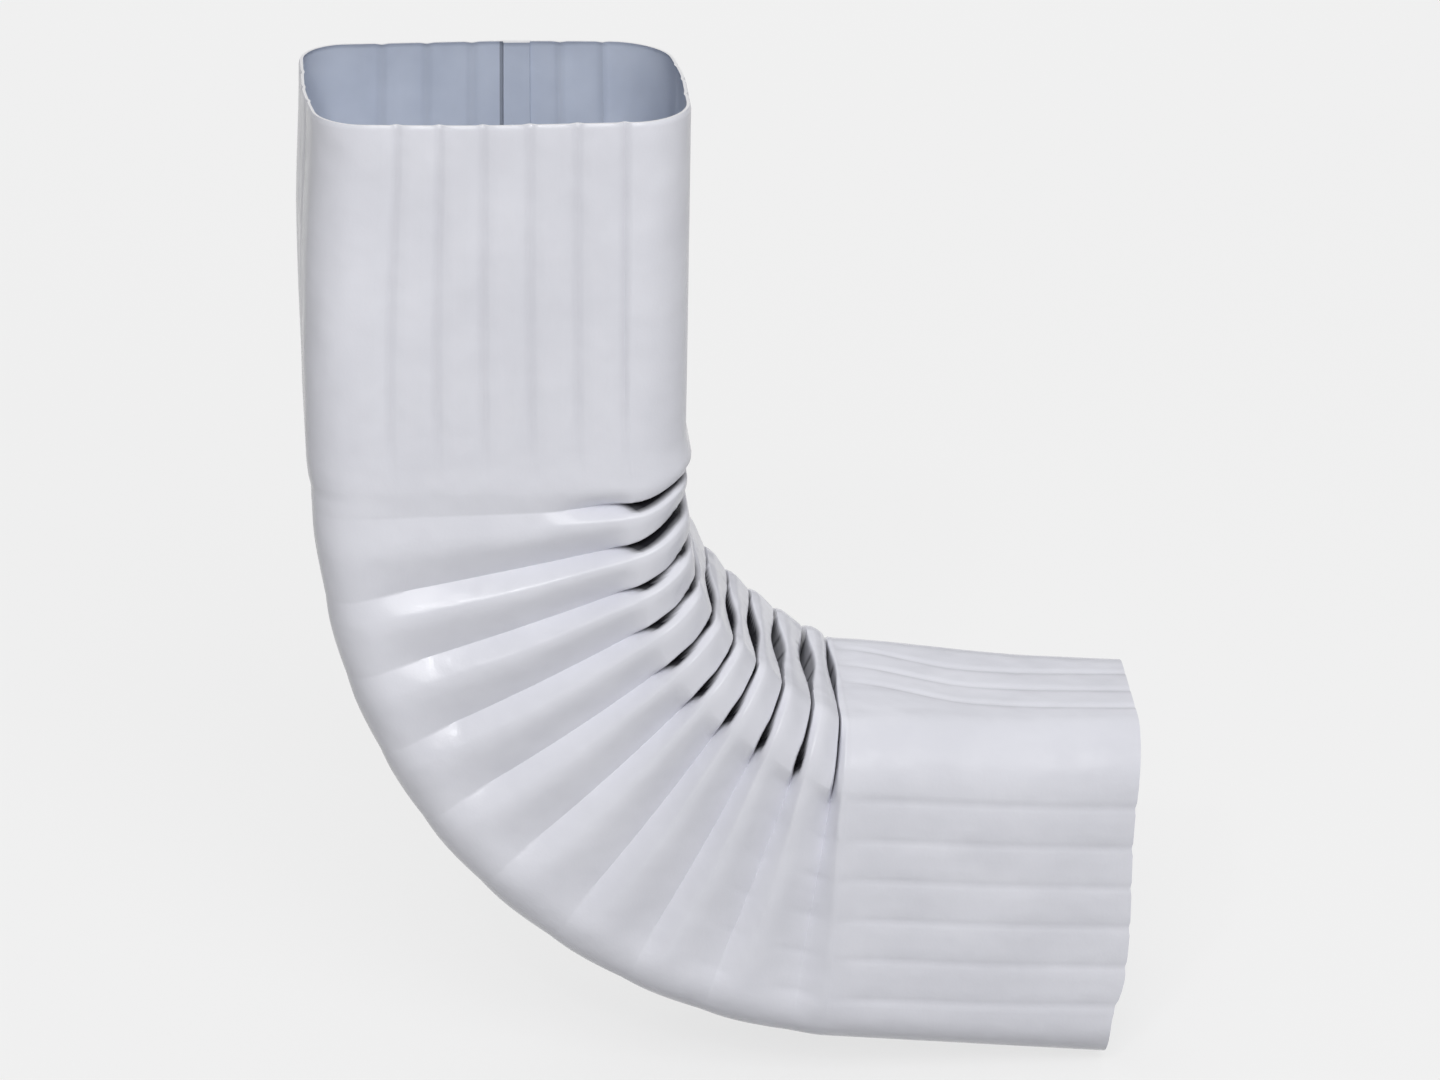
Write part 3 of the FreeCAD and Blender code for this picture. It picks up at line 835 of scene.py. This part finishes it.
def soft_dome():
    """A white sky whose strength grows with height and falls off towards the heel's side."""
    world = bpy.data.worlds.new("studio")
    world.use_nodes = True
    nodes, links = world.node_tree.nodes, world.node_tree.links
    place = nodes.new("ShaderNodeTexCoord")
    split = nodes.new("ShaderNodeSeparateXYZ")
    height = nodes.new("ShaderNodeMapRange")
    height.inputs["To Min"].default_value = HORIZON_LIGHT
    height.inputs["To Max"].default_value = OVERHEAD_LIGHT
    sideways = nodes.new("ShaderNodeMapRange")
    sideways.inputs["From Min"].default_value = -1
    sideways.inputs["From Max"].default_value = 0
    sideways.inputs["To Min"].default_value = HEEL_SIDE_SHARE
    sideways.inputs["To Max"].default_value = 1
    strength = nodes.new("ShaderNodeMath")
    strength.operation = "MULTIPLY"
    background = nodes["Background"]
    background.inputs["Color"].default_value = grey(1)
    links.new(place.outputs["Generated"], split.inputs["Vector"])
    links.new(split.outputs["Z"], height.inputs["Value"])
    links.new(split.outputs["X"], sideways.inputs["Value"])
    links.new(height.outputs["Result"], strength.inputs[0])
    links.new(sideways.outputs["Result"], strength.inputs[1])
    links.new(strength.outputs["Value"], background.inputs["Strength"])
    return world


bpy.context.scene.world = soft_dome()

# A broad soft light above the camera, a small one to its left that glints on the folds, and a fill behind.
# Angles are in degrees, distances and sizes in metres and powers in watts. Lights and camera face the target.
TARGET = Vector((50.0, 0.0, -100.0)) * MM
LIGHT_DISTANCE = 1.6
KEY = {"azimuth": 0, "elevation": 40, "size": 0.9, "power": 14.6}
GLINT = {"azimuth": -18, "elevation": 38, "size": 0.08, "power": 1.9}
FILL = {"azimuth": 176, "elevation": 30, "size": 1.0, "power": 7}


def direction(azimuth, elevation):
    """From the part outwards, with azimuth 0 at its front."""
    level = math.cos(elevation)
    return Vector((math.sin(azimuth) * level, -math.cos(azimuth) * level, math.sin(elevation)))


def look(thing, place, target):
    """Put a light or camera in its place, facing a target."""
    thing.location = place
    thing.rotation_mode = "QUATERNION"
    thing.rotation_quaternion = (target - place).to_track_quat("-Z", "Y")
    bpy.context.scene.collection.objects.link(thing)


def lamp(name, azimuth, elevation, size, power):
    light = bpy.data.lights.new(name, "AREA")
    light.size = size
    light.energy = power
    place = TARGET + direction(math.radians(azimuth), math.radians(elevation)) * LIGHT_DISTANCE
    thing = bpy.data.objects.new(name, light)
    look(thing, place, TARGET)
    return thing


lamp("key", **KEY)
lamp("glint", **GLINT)
lamp("fill", **FILL).visible_glossy = False

# Camera, fitted to the photo: its distance in metres, its lens and sensor in millimetres
CAMERA_DISTANCE = 1.7
CAMERA_AZIMUTH = math.radians(-4.0)
CAMERA_ELEVATION = math.radians(21.8)
CAMERA_LENS = 197.2
SENSOR_WIDTH = 36
AIM_RIGHT = -1.64 * MM
AIM_UP = -4.74 * MM
back = direction(CAMERA_AZIMUTH, CAMERA_ELEVATION)
right = Vector((math.cos(CAMERA_AZIMUTH), math.sin(CAMERA_AZIMUTH), 0))
up = back.cross(right)
camera_data = bpy.data.cameras.new("camera")
camera_data.sensor_width = SENSOR_WIDTH
camera_data.lens = CAMERA_LENS
camera = bpy.data.objects.new("camera", camera_data)
look(camera, TARGET + back * CAMERA_DISTANCE, TARGET + right * AIM_RIGHT + up * AIM_UP)
bpy.context.scene.camera = camera
bpy.context.scene.view_settings.view_transform = "Standard"
